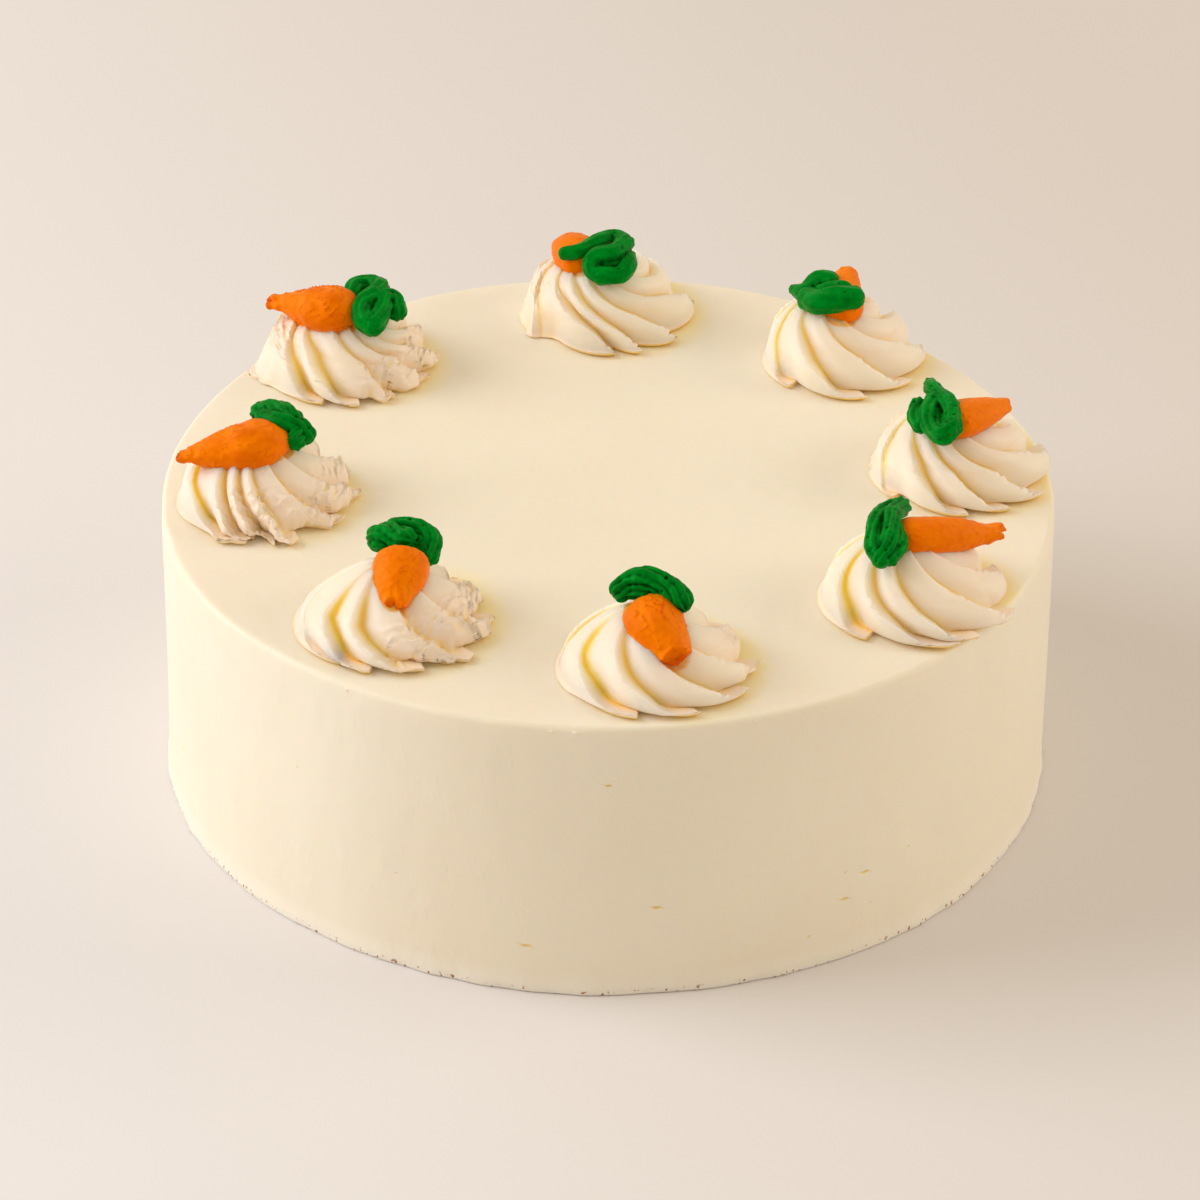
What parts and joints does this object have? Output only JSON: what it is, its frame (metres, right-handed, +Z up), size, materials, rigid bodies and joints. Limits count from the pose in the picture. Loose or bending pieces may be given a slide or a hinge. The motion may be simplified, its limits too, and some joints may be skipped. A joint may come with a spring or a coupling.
{
  "type": "carrot cake",
  "caption": "Round frosted carrot cake, flat on top, with a ring of piped cream rosettes that each carry a small piped carrot with green leaves.",
  "frame": {"origin": "middle of the cake's flat underside", "axes": "+Z up through the middle of the cake, +X to the right and -Y towards the side shown as the front"},
  "size_m": [0.2503, 0.2527, 0.1118],
  "materials": {
    "frosting": "smooth satin cream-cheese frosting",
    "buttercream": "satin piped buttercream",
    "orange_icing": "satin orange icing with small pits",
    "green_icing": "satin green icing with fine ridges"
  },
  "bodies": {
    "root": {"cake": "frosting", "rosette_back": "buttercream", "rosette_back_right": "buttercream", "rosette_right": "buttercream", "rosette_front_right": "buttercream", "rosette_front": "buttercream", "rosette_front_left": "buttercream", "rosette_left": "buttercream", "rosette_back_left": "buttercream", "carrot_back": "orange_icing", "carrot_back_right": "orange_icing", "carrot_right": "orange_icing", "carrot_front_right": "orange_icing", "carrot_front": "orange_icing", "carrot_front_left": "orange_icing", "carrot_left": "orange_icing", "carrot_back_left": "orange_icing", "leaves_back": "green_icing", "leaves_back_right": "green_icing", "leaves_right": "green_icing", "leaves_front_right": "green_icing", "leaves_front": "green_icing", "leaves_front_left": "green_icing", "leaves_left": "green_icing", "leaves_back_left": "green_icing"}
  },
  "joints": []
}
